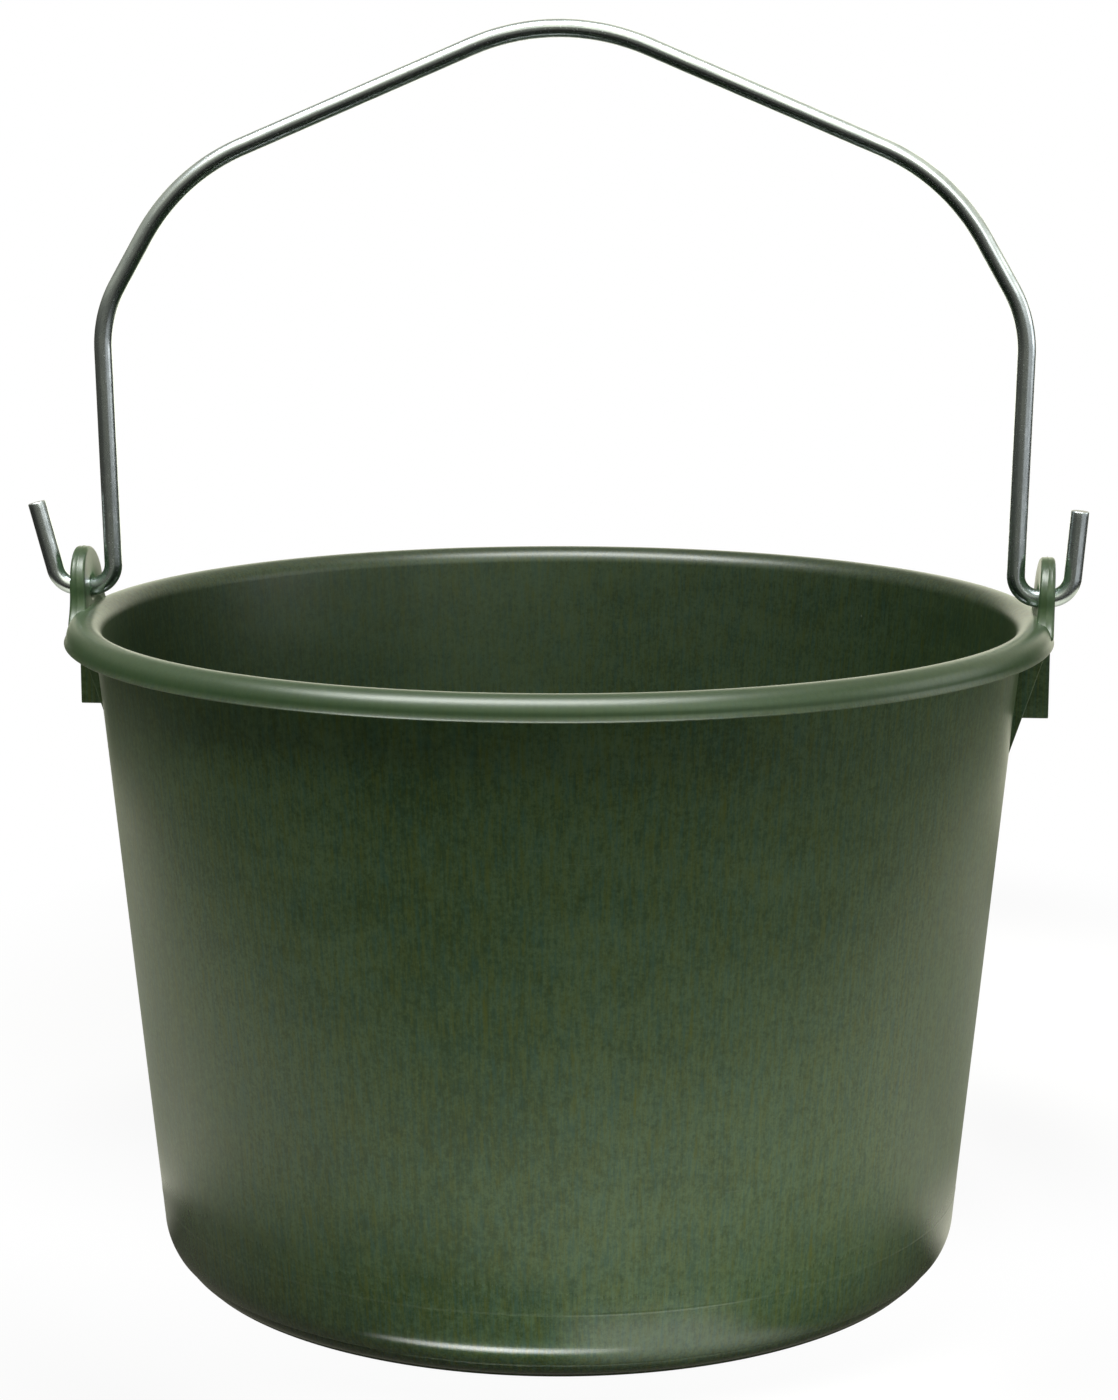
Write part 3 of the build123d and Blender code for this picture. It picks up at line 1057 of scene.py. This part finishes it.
from_bucket = paint.away(paint.stretched(spot, OVAL), OVAL_MIDDLE)
bounce_start = beside.between(from_axis.fade(*RING_START_FRONT), from_axis.fade(*RING_START_SIDE))
start = gloss.between(bounce_start, 1 - in_shadow)
end = gloss.between(from_bucket.fade(*RING_END_BOUNCE), from_bucket.fade(*RING_END_GLOSS))
bounce_level = spot_x.fade(*BOUNCE_ACROSS).between(BOUNCE_LEVEL_LEFT, BOUNCE_LEVEL_RIGHT)
gloss_level = spot_x.fade(*GLOSS_ACROSS).between(GLOSS_LEVEL, GLOSS_LEVEL_LEFT)
level = gloss.between(bounce_level, gloss_level)
ring = start * level * rear.between(end, from_bucket.fade(*RING_END_REAR) * REAR_LEVEL)
print("the ring ends", RING_END_GLOSS[0], "m out")

# %% [markdown]
# The photograph has one sharp highlight low on the bucket: the rounded corner mirrors something small and
# bright close to the floor. Here that is a short arc of light on the table, which only reflections see,
# with a faint broad sheen to the right of it.

# %% Lay an arc of light for the gleam
GLEAM_X = -0.0105
GLEAM_RADIUS = 0.1705
GLEAM_HALF_LENGTH = 0.066
GLEAM_HALF_WIDTH = 0.0045
SHEEN_X = 0.062
SHEEN_RADIUS = 0.180
SHEEN_HALF_LENGTH = 0.0548
SHEEN_HALF_WIDTH = 0.0283
SHEEN_SHARE = 0.1
IN_FRONT = (-0.08, -0.12)

gleam = abs(spot_x - GLEAM_X).fade(GLEAM_HALF_LENGTH, 0)
gleam = gleam * ((from_axis - GLEAM_RADIUS) ** 2).fade(GLEAM_HALF_WIDTH**2, 0)
sheen = ((spot_x - SHEEN_X) ** 2).fade(SHEEN_HALF_LENGTH**2, 0)
sheen = sheen * ((from_axis - SHEEN_RADIUS) ** 2).fade(SHEEN_HALF_WIDTH**2, 0)
arc = (gleam + sheen * SHEEN_SHARE) * spot_y.fade(*IN_FRONT) * gloss
print("gleam", 2 * GLEAM_HALF_LENGTH / MM, "mm long")

# %% [markdown]
# For the camera the table is nearly pure white, and the small share of matt paint that is left keeps the
# bucket's shadow. Towards its edge behind the bucket it turns fully white and runs into the room. For
# reflections that far part is a plain bright field, a little brighter on the right.

# %% Paint the table
TABLE_GREY = (0.5, 0.5, 0.47, 1)
TABLE_SHADE = (0.05, 0.05, 0.045, 1)
TABLE_FAR = (0.90, 0.89, 0.70, 1)
TABLE_FAR_RIGHT = (1.12, 1.11, 0.86, 1)
GLOW_WHITE = (2.07, 2.05, 1.92, 1)
GLOW_WARM = (2.07, 2.05, 1.68, 1)
GLEAM_WHITE = (27, 27, 27, 1)
BLACK = (0, 0, 0, 1)
WHITE = (1, 1, 1, 1)
TABLE_LIFT = 0.91
BEHIND = (-0.3, 0.0)
FAR_FOR_EYE = (0.3 * TABLE_RADIUS, 0.62 * TABLE_RADIUS)
FAR_FOR_GLOSS = (0.5 * TABLE_RADIUS, 0.95 * TABLE_RADIUS)

from_middle = paint.away(spot, (0, TABLE_SET_BACK, 0))
behind = spot_y.fade(*BEHIND)
far_for_eye = from_middle.fade(*FAR_FOR_EYE) * behind
far_for_gloss = from_middle.fade(*FAR_FOR_GLOSS) * behind
lift = seen * far_for_eye.between(TABLE_LIFT, 1) + gloss * far_for_gloss
shining = paint.mix(ring, BLACK, paint.mix(gloss, GLOW_WHITE, GLOW_WARM))
matt = paint.node("BsdfPrincipled", {}, {
    "Base Color": paint.mix(shade, TABLE_GREY, TABLE_SHADE),
    "Roughness": 1.0,
    "Specular IOR Level": 0.0,
    "Emission Color": paint.mix(arc, shining, GLEAM_WHITE),
    "Emission Strength": 1.0,
})
plain = paint.node("BsdfPrincipled", {}, {
    "Base Color": BLACK,
    "Specular IOR Level": 0.0,
    "Emission Color": paint.mix(gloss, WHITE, paint.mix(right, TABLE_FAR, TABLE_FAR_RIGHT)),
    "Emission Strength": 1.0,
})
paint.node("OutputMaterial", {}, {"Surface": paint.node("MixShader", {}, {0: lift, 1: matt, 2: plain})})
print("table_paint:", len(paint.tree.nodes), "nodes")

# %% [markdown]
# The room around is white as far as the camera can tell. For reflections it is bright behind the bucket and
# overhead, and falls off to a dim room on the photographer's side, where little is lit. That contrast is
# what gives a metal wire its dark flanks and its bright line: in an all-white room it would look like
# chalk. A direction's three parts run from -1 to 1, so each region of the room is a fade on one or two.

# %% Find the regions of the room
SKY = (-0.4, -0.1)
RIGHT_HALF = (-0.3, 0.4)
PAST_BUCKET = (0.86, 0.95)
AT_CAMERA = (-0.6, -0.95)
OVER_CAMERA = (-0.5, -0.9)
HIGH_UP = (0.2, 0.45)
OVERHEAD = (0.05, 0.4)

world = bpy.data.worlds.new("room")
scene.world = world
room = Finish(world)
by_eye, by_gloss = ray_kinds(room)
direction = room.node("TexCoord", out="Generated")
aside, ahead, above = [room.axis(direction, name) for name in "XYZ"]
sky = above.fade(*SKY)
to_right = aside.fade(*RIGHT_HALF)
past_bucket = ahead.fade(*PAST_BUCKET)
at_camera = ahead.fade(*AT_CAMERA) * sky
over_camera = ahead.fade(*OVER_CAMERA) * above.fade(*HIGH_UP)
overhead = above.fade(*OVERHEAD)
print("regions found with", len(room.tree.nodes), "nodes")

# %% [markdown]
# Each region adds its own light to the dim room. High up there is more of it on the right than on the left.
# Matt surfaces get almost nothing from the room, because the lamps light those.

# %% Paint the room
BACKDROP_LEVEL = 2.2
WARM_WHITE = (0.98, 0.97, 0.78, 1)
ROOM_FILL = 0.01
ROOM_BELOW = 0.014
ROOM_DIM = 0.07
FRONT_MORE = 0.08
FRONT_HIGH_MORE_LEFT, FRONT_HIGH_MORE_RIGHT = 0.665, 1.235
ABOVE_MORE_LEFT, ABOVE_MORE_RIGHT = 0.39, 0.78

backdrop_white = [BACKDROP_LEVEL * part for part in WHITE]
backdrop_warm = [BACKDROP_LEVEL * part for part in WARM_WHITE]
mirrored = sky.between(ROOM_BELOW, ROOM_DIM) + past_bucket * (BACKDROP_LEVEL - ROOM_DIM)
mirrored = mirrored + at_camera * FRONT_MORE
mirrored = mirrored + over_camera * to_right.between(FRONT_HIGH_MORE_LEFT, FRONT_HIGH_MORE_RIGHT)
mirrored = mirrored + overhead * to_right.between(ABOVE_MORE_LEFT, ABOVE_MORE_RIGHT)
room_level = by_eye + by_gloss * mirrored + (1 - by_eye) * (1 - by_gloss) * ROOM_FILL
brightest = room.mix(by_gloss, backdrop_white, backdrop_warm)
light = room.node("Background", {}, {
    "Color": room.mix(room_level / BACKDROP_LEVEL, BLACK, brightest),
    "Strength": 1.0,
})
room.node("OutputWorld", {}, {"Surface": light})
print("room:", len(room.tree.nodes), "nodes")

# %% [markdown]
# The lamps share the work. Two only light matt surfaces: a broad one above and in front, whose shadow of
# the rim darkens the top of the wall, and a weak fill from the left. The others only show in reflections:
# a wide panel overhead draws the bright line along the rim and the top of the wire, two lamps in front
# put the long soft bands on the wire's legs, and two cards on the right light the flanks of the hooks.

# %% Hang the lamps


def lamp(name, place, target, wide, high, watts, diffuse=True, gloss=True):
    """A rectangular soft lamp that faces its target and that the camera doesn't see.

    Without diffuse it only shows in reflections, and without gloss it only lights matt surfaces.
    """
    data = bpy.data.lights.new(name, "AREA")
    data.shape = "RECTANGLE"
    data.size = wide
    data.size_y = high
    data.energy = watts
    thing = bpy.data.objects.new(name, data)
    thing.location = place
    thing.rotation_mode = "QUATERNION"
    thing.rotation_quaternion = (Vector(target) - Vector(place)).to_track_quat("-Z", "Y")
    thing.visible_camera = False
    thing.visible_diffuse = diffuse
    thing.visible_glossy = gloss
    scene.collection.objects.link(thing)


lamp("overhead", (-0.5, -1.18, 2.3), (0, 0, 0.2), wide=1.5, high=1.0, watts=16, gloss=False)
lamp("fill_left", (-1.3, -0.5, 1.0), (0, 0, 0.2), wide=0.8, high=0.8, watts=0.6, gloss=False)
lamp("overhead_gleam", (-0.4, -0.72, 2.44), (-0.4, -0.72, 0), wide=2.3, high=1.0, watts=148, diffuse=False)
lamp("key_right", (0.752, -1.074, 1.27), (0, 0, 0.35), wide=0.7, high=1.4, watts=4.6, diffuse=False)
lamp("key_left", (-0.716, -0.796, 1.54), (0, 0, 0.35), wide=0.8, high=0.8, watts=3.4, diffuse=False)
lamp("side_card", (0.8, -0.45, 0.42), (0, 0, 0.38), wide=0.9, high=0.8, watts=1.05, diffuse=False)
lamp("hook_card", (0.9, 0.05, 0.5), (-0.2, 0, 0.29), wide=0.45, high=0.45, watts=1.3, diffuse=False)
scene.view_settings.view_transform = "Standard"

# %% [markdown]
# ## Last looks
#
# The finished skins have to stay inside the measured model's box, because a picture must not change the
# object's size.

# %% Finish
import json
